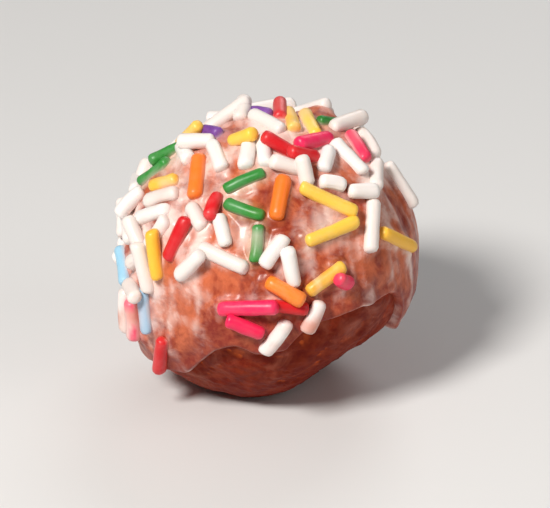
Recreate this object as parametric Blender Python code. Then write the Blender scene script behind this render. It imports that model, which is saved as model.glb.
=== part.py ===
# A glazed doughnut hole under rainbow sprinkles, at rest on a small flat spot of its crust.
# Metres, +Z up. The origin is the middle of the flat spot, and the side at -Y is the front.

import collections
import math
import random

import bmesh
import bpy
from mathutils import Quaternion, Vector, noise

MM = 0.001

# The ball of fried dough
CRUST_RADIUS = 14.2 * MM
CENTRE = Vector((0, 0, 13.2 * MM))
LUMP_HEIGHT = 0.45 * MM
LUMPS_PER_RADIUS = 1.9
CRAG_DEPTH = 0.5 * MM
CRAGS_PER_RADIUS = 4.6
BARE_FROM = (84, 104)  # degrees down from the top, over which the crags of the bare crust set in

# Where the ball departs from round. Each row: compass angle and angle down from the top, in
# degrees, then the spread in degrees and the height.
NUB = (52, 31, 10, 1.2 * MM)
LEFT_SWELL = (201, 124, 28, 1.4 * MM)
RIGHT_HOLLOW = (-36, 140, 25, -2.2 * MM)
SWELLS = (NUB, LEFT_SWELL, RIGHT_HOLLOW)

# The coat of glaze
GAP = 0.35 * MM
GLAZE_THICKNESS = 0.7 * MM
GLAZE_RADIUS = CRUST_RADIUS + GAP + GLAZE_THICKNESS
EDGE_BEAD = 0.15  # how much thicker the coat is at its edge, as a share
EDGE_ANGLE = 95  # degrees down from the top
EDGE_WAVE = 2.5
# How the glaze ran. Each row: compass angle, half width and how much further down, in degrees.
RUNS = (
    (-150, 38, 29),
    (-91, 11, 10),
    (-48, 22, -6),
    (-13, 12, 22),
    (25, 15, 7),
    (62, 16, 22),
    (98, 13, 6),
    (133, 17, 18),
)

# The meshes
AROUND = 56
DOUGH_ROWS_GLAZED = 11
DOUGH_ROWS_BARE = 12
OUTER_ROWS = 15
INNER_ROWS = 12

# The sprinkles
SPRINKLE_WIDTHS = {
    "white": 1.65 * MM, "yellow": 1.5 * MM, "green": 1.35 * MM, "orange": 1.75 * MM,
    "red": 1.5 * MM, "pink": 1.6 * MM, "blue": 1.5 * MM, "purple": 1.5 * MM,
}
SPRINKLE_SIDES = 6
END_DOME = 0.52 * MM
# In widths of the sprinkle: how high the ends of its middle line are above the glaze, the least
# that the rest of that line is, and how close two such lines are where one rides up on the other.
SIT_SHARE = 0.32
SUNK_SHARE = 0.17
TOUCH_SHARE = 0.78
MOST_LIFT = 1.3 * MM
LENGTHS = (3.8 * MM, 5.8 * MM)
BACK_COUNT = 38
SEED = 12
VIEW_TILT = math.radians(25)  # the front is seen from this far above level
TO_RIGHT = Vector((1, 0, 0))
TO_TOP = Vector((0, math.sin(VIEW_TILT), math.cos(VIEW_TILT)))
TO_VIEWER = Vector((0, -math.cos(VIEW_TILT), math.sin(VIEW_TILT)))
WIDEST_SEEN = 0.97  # share of the radius, past which a sprinkle would sit behind the outline

# The sprinkles that show from the front, by colour. Each row: millimetres to the right and up
# in that view, the turn in degrees from level, and the length in mm. The ball's middle is at
# SEEN_MIDDLE among them.
SEEN_MIDDLE = (0.7, -0.7)
SEEN = {
    "blue": ((-15.3, -1.4, -76, 4.8), (-12.4, -5.9, -80, 4.6)),
    "green": (
        (-2.2, 7.2, 22, 4.4), (-2.2, 4.3, -20, 4.3), (-0.9, 0.9, 84, 3.8),
        (-11.8, 8.5, 38, 5.2), (-10.9, 11.0, 46, 3.8), (7.4, 14.1, -12, 4.4),
    ),
    "purple": ((-5.6, 12.3, -18, 3.6), (-1.0, 14.8, -6, 3.8)),
    "white": (
        (-8.3, 10.2, -62, 4.4), (-5.0, 9.8, -68, 4.6), (-4.5, 15.4, 21, 5.2),
        (-2.8, 16.4, 50, 3.4), (0.1, 13.3, -30, 5.4), (-1.9, 10.0, 80, 3.8),
        (-0.2, 10.2, -84, 3.8), (-14.8, 2.9, -85, 5.0), (-11.6, 3.9, 17, 5.2),
        (-10.6, 5.7, 17, 4.6), (-11.0, 2.0, 57, 3.8), (-13.2, -0.7, 30, 2.8),
        (-15.2, -6.2, -80, 4.8), (-4.3, -0.6, -25, 5.4), (-7.7, -1.3, 38, 4.0),
        (0.8, 0.1, 54, 3.8), (2.5, -1.5, -77, 4.0), (10.7, 2.7, 87, 5.6),
        (6.7, 7.0, -10, 2.8), (8.4, 9.7, -48, 4.8), (11.2, 7.9, 86, 4.2),
        (9.8, 6.2, -5, 3.2), (6.1, 9.4, 74, 3.4), (2.1, 8.8, -5, 3.4),
        (3.9, 8.2, -66, 2.8), (8.2, 13.2, -6, 4.6), (10.9, 11.8, -55, 4.4),
        (14.2, 7.2, -57, 5.4), (-4.4, 2.2, -75, 3.4), (1.0, -8.6, 52, 4.4),
        (4.8, -6.5, 66, 3.6), (-13.7, -3.9, -31, 4.0), (-7.1, 11.4, 20, 3.6),
        (-14.3, 5.3, 66, 3.4), (-12.5, -1.6, -88, 5.0), (-13.3, 1.6, -80, 4.2),
        (-7.0, 3.6, -60, 3.2),
    ),
    "yellow": (
        (6.3, 5.3, -23, 6.3), (6.6, 2.1, 22, 6.0), (13.4, 1.3, -24, 6.2),
        (6.0, -2.7, 38, 4.6), (-11.3, -0.3, 87, 4.8), (-2.4, 11.7, -12, 3.2),
        (-10.4, 7.1, 19, 3.8), (-8.6, 13.0, 18, 4.4), (2.6, 13.5, -76, 5.8),
        (4.5, 13.2, -64, 5.8),
    ),
    "orange": ((-7.0, 7.7, 84, 5.4), (1.4, 5.5, 79, 4.7), (1.9, -3.9, -28, 4.2)),
    "red": (
        (-5.3, 4.7, 82, 3.1), (-9.0, 1.4, 64, 4.8), (-10.9, -10.6, -88, 4.8),
        (1.5, 10.8, -14, 3.8), (3.8, 9.9, 8, 3.4), (1.4, 14.6, -85, 4.0), (2.4, -5.5, -6, 3.8),
    ),
    "pink": (
        (4.9, 11.4, 21, 5.0), (9.4, 10.8, -58, 4.2), (-1.9, -5.6, 4, 6.0),
        (-2.1, -7.5, -28, 4.0), (7.8, -2.9, -24, 2.3), (-13.7, -6.9, -76, 4.2),
    ),
}
# The share of each colour among the rest, on the back
BACK_SHARES = {
    "white": 45, "yellow": 13, "green": 9, "orange": 9, "red": 8, "pink": 8, "blue": 5,
    "purple": 3,
}
BACK_FROM = -0.12  # the back is where the surface faces away from the viewer, as a cosine
WHITE_FROM = -0.35  # from here on to BACK_FROM, by the outline, all of them are white
SPRINKLED_AXIS = Vector((-0.34, -0.1, 0.93)).normalized()
SPRINKLED_ANGLE = (55, 94)  # degrees from that axis, over which the sprinkles thin out to none
CLEAR_OF_EDGE = 9  # degrees that a sprinkle on the back stays above the edge of the glaze
CROSSED_SHARE = 0.3  # of the back's sprinkles that would cross another, those that do

# Colours of the materials
CRUST_COLOUR = (0.42, 0.15, 0.045)
GLAZE_COLOUR = (0.80, 0.58, 0.47)
SPRINKLE_COLOURS = {
    "white": (0.90, 0.86, 0.80),
    "yellow": (0.88, 0.58, 0.08),
    "green": (0.05, 0.36, 0.08),
    "orange": (0.90, 0.25, 0.02),
    "red": (0.65, 0.01, 0.02),
    "pink": (0.85, 0.03, 0.17),
    "blue": (0.27, 0.60, 0.80),
    "purple": (0.22, 0.07, 0.36),
}

Sprinkle = collections.namedtuple("Sprinkle", "tail head colour")


def clear_scene():
    for obj in list(bpy.data.objects):
        bpy.data.objects.remove(obj, do_unlink=True)


def material(name, colour, roughness):
    made = bpy.data.materials.new(name)
    made.use_nodes = True
    shader = made.node_tree.nodes["Principled BSDF"]
    shader.inputs["Base Color"].default_value = (*colour, 1)
    shader.inputs["Roughness"].default_value = roughness
    shader.inputs["Metallic"].default_value = 0
    return made


def smooth_step(low, high, value):
    share = min(max((value - low) / (high - low), 0), 1)
    return share * share * (3 - 2 * share)


def direction_at(compass, down):
    """The unit direction at a compass angle from +X and an angle down from the top."""
    ring = math.sin(down)
    return Vector((ring * math.cos(compass), ring * math.sin(compass), math.cos(down)))


def down_angle(direction):
    return math.acos(min(max(direction.z, -1), 1))


def crust_form(direction):
    """Distance from the centre to the crust, without its crags."""
    radius = CRUST_RADIUS
    for compass, down, spread, height in SWELLS:
        off = direction.angle(direction_at(math.radians(compass), math.radians(down)))
        radius += height * math.exp(-((math.degrees(off) / spread) ** 2))
    return radius + LUMP_HEIGHT * noise.noise(direction * LUMPS_PER_RADIUS)


def crag_depth(direction):
    """How far a crag goes into the bare crust. It only goes in, so the glaze stays clear."""
    bare = smooth_step(*BARE_FROM, math.degrees(down_angle(direction)))
    hollow = max(noise.noise(direction * CRAGS_PER_RADIUS + Vector((7, 3, 1))), 0)
    return CRAG_DEPTH * bare * hollow


def glaze_surface(direction):
    return crust_form(direction) + GAP + GLAZE_THICKNESS


def glaze_edge(compass):
    """The angle down from the top where the glaze ends, at a compass angle."""
    down = EDGE_ANGLE + EDGE_WAVE * noise.noise(direction_at(compass, math.pi / 2) * 3)
    for middle, spread, drop in RUNS:
        off = math.degrees(compass) - middle
        off = (off + 180) % 360 - 180
        down += drop * math.exp(-(abs(off / spread) ** 3))
    return math.radians(down)


def turned_mesh(outline):
    """A closed bmesh turned from an outline of (angle down, distance) that starts and ends on the axis."""
    bm = bmesh.new()
    spots = [bm.verts.new(direction_at(0, down) * distance) for down, distance in outline]
    edges = [bm.edges.new(pair) for pair in zip(spots, spots[1:])]
    bmesh.ops.spin(
        bm, geom=spots + edges, cent=(0, 0, 0), axis=(0, 0, 1), angle=2 * math.pi,
        steps=AROUND, use_merge=True,
    )
    bmesh.ops.remove_doubles(bm, verts=bm.verts, dist=1e-5)
    bmesh.ops.recalc_face_normals(bm, faces=bm.faces)
    return bm


def object_from(bm, name, *materials):
    mesh = bpy.data.meshes.new(name)
    bmesh.ops.triangulate(bm, faces=bm.faces)
    bm.to_mesh(mesh)
    bm.free()
    for each in materials:
        mesh.materials.append(each)
    mesh.shade_smooth()
    obj = bpy.data.objects.new(name, mesh)
    bpy.context.scene.collection.objects.link(obj)
    return obj


def make_dough():
    """The ball of dough: rows closer together on the bare crust, cut flat where it rests."""
    bare_from = math.radians(BARE_FROM[0])
    downs = [bare_from * row / DOUGH_ROWS_GLAZED for row in range(DOUGH_ROWS_GLAZED)]
    step = (math.pi - bare_from) / DOUGH_ROWS_BARE
    downs += [bare_from + step * row for row in range(DOUGH_ROWS_BARE + 1)]
    bm = turned_mesh([(down, 1) for down in downs])
    for spot in bm.verts:
        direction = spot.co.normalized()
        spot.co = CENTRE + direction * (crust_form(direction) - crag_depth(direction))
    everything = bm.verts[:] + bm.edges[:] + bm.faces[:]
    cut = bmesh.ops.bisect_plane(
        bm, geom=everything, plane_co=(0, 0, 0), plane_no=(0, 0, 1), clear_inner=True
    )
    rim = [part for part in cut["geom_cut"] if isinstance(part, bmesh.types.BMEdge)]
    bmesh.ops.edgeloop_fill(bm, edges=rim)
    bmesh.ops.recalc_face_normals(bm, faces=bm.faces)
    dough = object_from(bm, "dough", material("fried crust", CRUST_COLOUR, 0.6))
    dough.data.set_sharp_from_angle(angle=math.radians(50))
    return dough


def make_glaze():
    """The coat of glaze: a shell with a rounded edge, whose lower edge follows the runs."""
    # On the plain shape that is turned first, the coat's inside lies at distance 1 and its
    # outside at 2, and its edge lies at 1 radian down. Each corner then moves to its real place.
    outer = [(row / OUTER_ROWS, 2) for row in range(OUTER_ROWS)]
    rim = [(0.985, 1.92), (1, 1.5), (0.985, 1.08)]
    inner = [(row / INNER_ROWS, 1) for row in reversed(range(INNER_ROWS))]
    bm = turned_mesh(outer + rim + inner)
    for spot in bm.verts:
        share_down = down_angle(spot.co.normalized())
        share_out = spot.co.length - 1
        compass = math.atan2(spot.co.y, spot.co.x)
        direction = direction_at(compass, share_down * glaze_edge(compass))
        bead = 1 + EDGE_BEAD * smooth_step(0.8, 1, share_down)
        height = GAP + share_out * bead * GLAZE_THICKNESS
        spot.co = CENTRE + direction * (crust_form(direction) + height)
    return object_from(bm, "glaze", material("milky glaze", GLAZE_COLOUR, 0.25))


def line_spots(sprinkle):
    """Evenly spaced (share, place) pairs along a sprinkle's middle line."""
    return [(share / 6, sprinkle.tail.lerp(sprinkle.head, share / 6)) for share in range(7)]


def crossings(sprinkle, laid):
    """For each earlier sprinkle in the way, how far along this one it lies and how far it lifts it."""
    found = []
    own_spots = line_spots(sprinkle)
    for other in laid:
        widths = SPRINKLE_WIDTHS[sprinkle.colour] + SPRINKLE_WIDTHS[other.colour]
        touch = TOUCH_SHARE * widths / 2
        if (other.tail - own_spots[3][1]).length > 2 * LENGTHS[1]:
            continue
        pairs = [((a - b).length, share) for share, a in own_spots for _, b in line_spots(other)]
        gap, share = min(pairs)
        if gap < touch:
            found.append((share, math.sqrt(touch**2 - gap**2)))
    return found


def end_place(outward, along, reach, height):
    """The place of a sprinkle's end: its reach along the glaze, and its height above the glaze."""
    bend = reach / GLAZE_RADIUS
    direction = (outward * math.cos(bend) + along * math.sin(bend)).normalized()
    return CENTRE + direction * (glaze_surface(direction) + height)


def height_above_glaze(spot):
    outward = spot - CENTRE
    return outward.length - glaze_surface(outward.normalized())


def sunk_depth(sprinkle):
    """How far a sprinkle's middle line would sink too low, where the glaze bulges under it."""
    least = SUNK_SHARE * SPRINKLE_WIDTHS[sprinkle.colour]
    lowest = min(height_above_glaze(spot) for _, spot in line_spots(sprinkle))
    return max(least - lowest, 0)


def lay_sprinkle(outward, along, length, colour, laid):
    """A sprinkle on the glaze, one end raised where it lies over an earlier one, and its crossings."""
    reach = (length - 2 * END_DOME) / 2
    sit = SIT_SHARE * SPRINKLE_WIDTHS[colour]
    flat = Sprinkle(*[end_place(outward, along, side * reach, sit) for side in (-1, 1)], colour)
    found = crossings(flat, laid)
    lifts = [sunk_depth(flat)] * 2
    if found:
        share, rise = max(found, key=lambda crossing: crossing[1])
        raised = 0 if share < 0.5 else 1
        lifts[raised] = max(lifts[raised], min(rise / max(share, 1 - share), MOST_LIFT))
    ends = [
        end_place(outward, along, side * reach, sit + lift) for side, lift in zip((-1, 1), lifts)
    ]
    return Sprinkle(*ends, colour), len(found)


def seen_place(right, up, turn, height):
    """The outward direction and the lie of a sprinkle placed in the view of the front, its middle
    at a height above the glaze."""
    distance = GLAZE_RADIUS + height
    for _ in range(4):
        across = Vector((right - SEEN_MIDDLE[0], up - SEEN_MIDDLE[1])) * MM / distance
        if across.length > WIDEST_SEEN:
            across *= WIDEST_SEEN / across.length
        depth = math.sqrt(1 - across.length_squared)
        outward = across.x * TO_RIGHT + across.y * TO_TOP + depth * TO_VIEWER
        distance = glaze_surface(outward) + height
    lie = Vector((math.cos(turn), math.sin(turn)))
    along = lie.x * TO_RIGHT + lie.y * TO_TOP - lie.dot(across) / depth * TO_VIEWER
    return outward, along.normalized()


def lay_seen_sprinkle(row, colour, laid):
    """A sprinkle of the front. Its place follows from its height, so it is laid again when raised."""
    right, up, turn, length = row
    height = SIT_SHARE * SPRINKLE_WIDTHS[colour]
    for _ in range(3):
        outward, along = seen_place(right, up, math.radians(turn), height)
        sprinkle, _ = lay_sprinkle(outward, along, length * MM, colour, laid)
        height = height_above_glaze((sprinkle.tail + sprinkle.head) / 2)
    return sprinkle


def back_place(draw):
    """A random outward direction and lie on the back, or None where there are no sprinkles."""
    outward = Vector((draw.gauss(0, 1), draw.gauss(0, 1), draw.gauss(0, 1))).normalized()
    along = outward.orthogonal().normalized()
    along = Quaternion(outward, draw.uniform(0, math.pi)) @ along
    keep = draw.random()
    off_axis = math.degrees(outward.angle(SPRINKLED_AXIS))
    edge = glaze_edge(math.atan2(outward.y, outward.x)) - math.radians(CLEAR_OF_EDGE)
    if (
        outward.dot(TO_VIEWER) > BACK_FROM
        or down_angle(outward) > edge
        or keep < smooth_step(*SPRINKLED_ANGLE, off_axis)
    ):
        return None
    return outward, along


def plan_sprinkles():
    """Every sprinkle: those seen from the front where they are, then the back by chance."""
    draw = random.Random(SEED)
    laid = []
    for colour, rows in SEEN.items():
        for row in rows:
            laid.append(lay_seen_sprinkle(row, colour, laid))
    most = len(laid) + BACK_COUNT
    while len(laid) < most:
        place = back_place(draw)
        length = draw.uniform(*LENGTHS)
        colour = draw.choices(list(BACK_SHARES), list(BACK_SHARES.values()))[0]
        crossed = draw.random() < CROSSED_SHARE
        if place is None:
            continue
        if place[0].dot(TO_VIEWER) > WHITE_FROM:
            colour = "white"
        sprinkle, crossing_count = lay_sprinkle(*place, length, colour, laid)
        if crossing_count <= (1 if crossed else 0):
            laid.append(sprinkle)
    return laid


def make_sprinkle(sprinkle, finish):
    """A six-sided rod with blunt domed ends along a sprinkle's middle line."""
    line = sprinkle.head - sprinkle.tail
    turned = line.to_track_quat("Z", "Y").to_matrix().to_4x4()
    turned.translation = (sprinkle.head + sprinkle.tail) / 2
    bm = bmesh.new()
    radius = SPRINKLE_WIDTHS[sprinkle.colour] / 2
    bmesh.ops.create_cone(
        bm, cap_ends=True, segments=SPRINKLE_SIDES, radius1=radius, radius2=radius,
        depth=line.length, matrix=turned,
    )
    caps = [face for face in bm.faces if len(face.verts) == SPRINKLE_SIDES]
    bmesh.ops.poke(bm, faces=caps, offset=END_DOME)
    return object_from(bm, "sprinkle", finish)


def fuse(body, pieces):
    """Joins the pieces to the body by one union, then removes them."""
    group = bpy.data.collections.new("sprinkles")
    bpy.context.scene.collection.children.link(group)
    for piece in pieces:
        bpy.context.scene.collection.objects.unlink(piece)
        group.objects.link(piece)
    union = body.modifiers.new("sprinkles", "BOOLEAN")
    union.operation = "UNION"
    union.operand_type = "COLLECTION"
    union.collection = group
    union.solver = "EXACT"
    union.material_mode = "TRANSFER"
    graph = bpy.context.evaluated_depsgraph_get()
    fused = bpy.data.meshes.new_from_object(body.evaluated_get(graph))
    body.modifiers.clear()
    body.data = fused
    for piece in pieces:
        bpy.data.objects.remove(piece, do_unlink=True)
    bpy.data.collections.remove(group)


def keep_outer_skin(body):
    """Drops every loose scrap and sealed hollow, so that one closed skin is left."""
    bm = bmesh.new()
    bm.from_mesh(body.data)
    unseen = set(bm.verts)
    islands = []
    while unseen:
        island = {unseen.pop()}
        edge_of_island = list(island)
        while edge_of_island:
            spot = edge_of_island.pop()
            near = {edge.other_vert(spot) for edge in spot.link_edges} & unseen
            unseen -= near
            island |= near
            edge_of_island.extend(near)
        islands.append(island)
    largest = max(islands, key=len)
    scraps = [spot for island in islands if island is not largest for spot in island]
    bmesh.ops.delete(bm, geom=scraps, context="VERTS")
    bm.to_mesh(body.data)
    bm.free()


def main():
    clear_scene()
    make_dough()
    glaze = make_glaze()
    finishes = {
        colour: material(f"{colour} sprinkle", value, 0.35)
        for colour, value in SPRINKLE_COLOURS.items()
    }
    pieces = [make_sprinkle(each, finishes[each.colour]) for each in plan_sprinkles()]
    fuse(glaze, pieces)
    keep_outer_skin(glaze)
    glaze.data.set_sharp_from_angle(angle=math.radians(38))


main()
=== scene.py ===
# The looks of a glazed doughnut hole: fried crust, thin milky glaze and rainbow sprinkles.

import collections
import math
import random

import bmesh
import bpy
import numpy as np
from mathutils import Matrix, Quaternion, Vector, noise


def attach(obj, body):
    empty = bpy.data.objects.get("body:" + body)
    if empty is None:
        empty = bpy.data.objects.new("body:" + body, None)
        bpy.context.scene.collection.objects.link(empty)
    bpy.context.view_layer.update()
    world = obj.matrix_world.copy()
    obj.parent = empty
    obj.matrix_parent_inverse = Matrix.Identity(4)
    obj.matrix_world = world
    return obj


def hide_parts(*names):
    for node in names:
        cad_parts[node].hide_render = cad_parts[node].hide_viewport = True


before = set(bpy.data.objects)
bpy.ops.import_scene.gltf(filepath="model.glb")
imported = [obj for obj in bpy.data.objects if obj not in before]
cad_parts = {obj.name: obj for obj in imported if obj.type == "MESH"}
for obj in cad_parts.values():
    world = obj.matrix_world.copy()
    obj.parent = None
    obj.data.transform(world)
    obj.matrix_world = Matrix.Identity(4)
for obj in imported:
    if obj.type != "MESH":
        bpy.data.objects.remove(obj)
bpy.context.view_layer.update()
mm = 0.001

# The ball's form, with the same sizes as the solids
ball = {
    "crustRadius": 14.2 * mm,
    "centre": Vector((0, 0, 13.2 * mm)),
    "lumpHeight": 0.45 * mm,
    "lumpsPerRadius": 1.9,
    "cragDepth": 0.5 * mm,
    "cragsPerRadius": 4.6,
    "bareFrom": (84, 104),  # degrees down from the top
    "swells": (  # compass angle, angle down, spread in degrees, height
        (52, 31, 10, 1.2 * mm),
        (201, 124, 28, 1.4 * mm),
        (-36, 140, 25, -2.2 * mm),
    ),
}

# Where each pattern is read in the noise, so that no two of them match
noisePlaces = {
    "crags": Vector((7, 3, 1)),
    "browning": Vector((8, 1, 5)),
    "pores": Vector((2, 9, 4)),
    "pebbles": Vector((5, 5, 5)),
    "streaks": Vector((3, 3, 3)),
    "clouds": Vector((1, 6, 2)),
    "wisps": Vector((4, 4, 9)),
}


def smoothStep(low, high, value):
    share = min(max((value - low) / (high - low), 0), 1)
    return share * share * (3 - 2 * share)


def directionAt(compass, down):
    ring = math.sin(down)
    return Vector((ring * math.cos(compass), ring * math.sin(compass), math.cos(down)))


def downAngle(direction):
    return math.acos(min(max(direction.z, -1), 1))


def crustForm(direction):  # distance from the ball's middle to the crust, without crags
    radius = ball["crustRadius"]
    for compass, down, spread, height in ball["swells"]:
        off = direction.angle(directionAt(math.radians(compass), math.radians(down)))
        radius += height * math.exp(-((math.degrees(off) / spread) ** 2))
    return radius + ball["lumpHeight"] * noise.noise(direction * ball["lumpsPerRadius"])


def cragDepth(direction):
    bare = smoothStep(*ball["bareFrom"], math.degrees(downAngle(direction)))
    hollow = max(noise.noise(direction * ball["cragsPerRadius"] + noisePlaces["crags"]), 0)
    return ball["cragDepth"] * bare * hollow


coat = {  # the glaze
    "height": 1.05 * mm,  # its surface above the crust
    "edgeAngle": 95,  # degrees down from the top
    "edgeWave": 2.5,  # degrees that the edge wanders, in broad waves
    "edgeWavesPerRadius": 3,
    "ragged": 1.1,  # degrees that it wanders besides, in small ones
    "raggedPerRadius": 6.5,
    "raggedNoise": (0.8, 2.2, 2),  # here and below: fall-off, step in scale and layers of a fractal
    "runs": (  # compass angle, half width and how much further down, in degrees
        (-150, 38, 29),
        (-91, 11, 10),
        (-48, 22, -6),
        (-13, 12, 22),
        (25, 15, 7),
        (62, 16, 22),
        (98, 13, 6),
        (133, 17, 18),
    ),
}


def glazeSurface(direction):
    return crustForm(direction) + coat["height"]


def glazeEdge(compass):  # the angle down from the top where the glaze ends
    down = coat["edgeAngle"]
    level = directionAt(compass, math.pi / 2)
    down += coat["edgeWave"] * noise.noise(level * coat["edgeWavesPerRadius"])
    for middle, spread, drop in coat["runs"]:
        off = math.degrees(compass) - middle
        off = (off + 180) % 360 - 180
        down += drop * math.exp(-(abs(off / spread) ** 3))
    return math.radians(down)


def raggedEdge(compass):
    level = directionAt(compass, math.pi / 2)
    wander = noise.fractal(level * coat["raggedPerRadius"], *coat["raggedNoise"])
    return glazeEdge(compass) + math.radians(coat["ragged"]) * wander


poleGap = 1e-5  # points closer than this, as at the poles, become one


def turnedShape(outline, around):  # outline: (angle down, distance) from pole to pole
    bm = bmesh.new()
    spots = [bm.verts.new(directionAt(0, down) * distance) for down, distance in outline]
    edges = [bm.edges.new(pair) for pair in zip(spots, spots[1:])]
    bmesh.ops.spin(
        bm, geom=spots + edges, cent=(0, 0, 0), axis=(0, 0, 1), angle=2 * math.pi,
        steps=around, use_merge=True,
    )
    bmesh.ops.remove_doubles(bm, verts=bm.verts, dist=poleGap)
    bmesh.ops.recalc_face_normals(bm, faces=bm.faces)
    return bm


def finishedPiece(name, bm, finish, slot, *nodes):
    mesh = bpy.data.meshes.new(name)
    bm.to_mesh(mesh)
    bm.free()
    mesh.materials.append(finish)
    mesh.shade_smooth()
    piece = bpy.data.objects.new(name, mesh)
    bpy.context.scene.collection.objects.link(piece)
    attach(piece, "root")
    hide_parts(*nodes)
    return piece


def storeValues(piece, name, values):
    attribute = piece.data.attributes.new(name, "FLOAT", "POINT")
    attribute.data.foreach_set("value", np.asarray(values, dtype=np.float32))


def storeColours(piece, name, colours):
    attribute = piece.data.attributes.new(name, "FLOAT_COLOR", "POINT")
    rgba = np.ones((len(colours), 4), dtype=np.float32)
    rgba[:, :3] = colours
    attribute.data.foreach_set("color", rgba.ravel())


# Camera, lights and floor

view = {
    "sensorWidth": 36,  # in mm, as the camera has it
    "clip": (0.01, 20),
    "elevation": 25,  # degrees above level
    "distance": 490 * mm,
    "frameWidth": 57 * mm,  # what the frame spans at the ball
    "aim": ball["centre"] + Vector((0.2 * mm, 0, 0.6 * mm)),
}

studio = {
    "key": {
        "place": (-0.21, -0.28, 0.37), "size": 0.13, "power": 2.85, "colour": (1, 0.97, 0.93),
    },
    "fill": {
        "place": (0.36, -0.16, 0.22), "size": 0.34, "power": 0.36, "colour": (1, 0.97, 0.94),
    },
    "back": {"place": (0.12, 0.36, 0.30), "size": 0.26, "power": 0.5, "colour": (1, 1, 1)},
    "sky": (1, 0.99, 0.98, 1),
    "skyStrength": 0.11,
    "floor": (0.74, 0.735, 0.73, 1),
    "floorRoughness": 0.55,
    "floorReach": 3,
}


def makeCamera():
    data = bpy.data.cameras.new("camera")
    data.sensor_width = view["sensorWidth"]
    data.lens = view["sensorWidth"] * view["distance"] / view["frameWidth"]
    data.clip_start, data.clip_end = view["clip"]
    camera = bpy.data.objects.new("camera", data)
    tilt = math.radians(view["elevation"])
    back = Vector((0, -math.cos(tilt), math.sin(tilt)))
    camera.location = view["aim"] + back * view["distance"]
    camera.rotation_euler = (math.pi / 2 - tilt, 0, 0)
    bpy.context.scene.collection.objects.link(camera)
    bpy.context.scene.camera = camera


def makeLight(name, place, size, power, colour):
    data = bpy.data.lights.new(name, "AREA")
    data.shape = "DISK"
    data.size = size
    data.energy = power
    data.color = colour
    light = bpy.data.objects.new(name, data)
    light.location = place
    toBall = ball["centre"] - Vector(place)
    light.rotation_euler = toBall.to_track_quat("-Z", "Y").to_euler()
    bpy.context.scene.collection.objects.link(light)


def makeStudio():
    for name in ("key", "fill", "back"):
        makeLight(name, **studio[name])
    world = bpy.data.worlds.new("sky")
    world.use_nodes = True
    sky = world.node_tree.nodes["Background"]
    sky.inputs["Color"].default_value = studio["sky"]
    sky.inputs["Strength"].default_value = studio["skyStrength"]
    bpy.context.scene.world = world
    bpy.context.scene.view_settings.view_transform = "Standard"


def makeFloor():
    bm = bmesh.new()
    bmesh.ops.create_grid(bm, x_segments=2, y_segments=2, size=studio["floorReach"])
    mesh = bpy.data.meshes.new("floor")
    bm.to_mesh(mesh)
    bm.free()
    made = bpy.data.materials.new("paleFloor")
    made.use_nodes = True
    shader = made.node_tree.nodes["Principled BSDF"]
    shader.inputs["Base Color"].default_value = studio["floor"]
    shader.inputs["Roughness"].default_value = studio["floorRoughness"]
    mesh.materials.append(made)
    floor = bpy.data.objects.new("floor", mesh)
    bpy.context.scene.collection.objects.link(floor)


makeCamera()
makeStudio()
makeFloor()
print("camera, lights and floor are in place")


# Shared shading effects

def addNode(tree, kind, **values):
    node = tree.nodes.new(kind)
    for name, value in values.items():
        if name in node.inputs:
            node.inputs[name].default_value = value
        else:
            setattr(node, name, value)
    return node


def setSockets(tree, sockets, values):  # each value is a number, a colour or a socket to link
    for socket, value in zip(sockets, values):
        if isinstance(value, bpy.types.NodeSocket):
            tree.links.new(value, socket)
        else:
            socket.default_value = value


def mixColours(tree, factor, first, second):
    node = tree.nodes.new("ShaderNodeMix")
    node.data_type = "RGBA"
    # Of the node's many sockets, input 0 is the factor, and inputs 6 and 7 and output 2 are colours
    setSockets(tree, (node.inputs[0], node.inputs[6], node.inputs[7]), (factor, first, second))
    return node.outputs[2]


def doMath(tree, operation, first, second):
    node = tree.nodes.new("ShaderNodeMath")
    node.operation = operation
    setSockets(tree, node.inputs, (first, second))
    return node.outputs[0]


def ranged(tree, value, old, new=(0, 1)):  # moves a value smoothly from one range to another
    node = tree.nodes.new("ShaderNodeMapRange")
    node.interpolation_type = "SMOOTHSTEP"
    sockets = [node.inputs[name] for name in ("Value", "From Min", "From Max", "To Min", "To Max")]
    setSockets(tree, sockets, (value, *old, *new))
    return node.outputs["Result"]


def newGroup(name, inputs, outputs):
    group = bpy.data.node_groups.new(name, "ShaderNodeTree")
    for label, kind, value in inputs:
        socket = group.interface.new_socket(name=label, in_out="INPUT", socket_type=kind)
        socket.default_value = value
    for label, kind in outputs:
        group.interface.new_socket(name=label, in_out="OUTPUT", socket_type=kind)
    start = group.nodes.new("NodeGroupInput")
    end = group.nodes.new("NodeGroupOutput")
    return group, start, end


textures = {
    "mottleEdge": (0.36, 0.64),  # noise over which one tone of a mottle turns into the other
    "pitEdge": (0.12, 0.36),  # share of a cell over which its pit ends
}


def mottleGroup():  # patches of two tones in a soft, uneven pattern
    group, start, end = newGroup(
        "mottle",
        (
            ("First", "NodeSocketColor", (1, 1, 1, 1)),
            ("Second", "NodeSocketColor", (0, 0, 0, 1)),
            ("Scale", "NodeSocketFloat", 200.0),
            ("Warp", "NodeSocketFloat", 0.3),
            ("Bias", "NodeSocketFloat", 0.0),
        ),
        (("Color", "NodeSocketColor"), ("Mask", "NodeSocketFloat")),
    )
    place = addNode(group, "ShaderNodeTexCoord")
    pattern = addNode(group, "ShaderNodeTexNoise", Detail=4.0, Roughness=0.6)
    group.links.new(place.outputs["Object"], pattern.inputs["Vector"])
    group.links.new(start.outputs["Scale"], pattern.inputs["Scale"])
    group.links.new(start.outputs["Warp"], pattern.inputs["Distortion"])
    shifted = doMath(group, "ADD", pattern.outputs[0], start.outputs["Bias"])
    mask = ranged(group, shifted, textures["mottleEdge"])
    colour = mixColours(group, mask, start.outputs["First"], start.outputs["Second"])
    group.links.new(colour, end.inputs["Color"])
    group.links.new(mask, end.inputs["Mask"])
    return group


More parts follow.
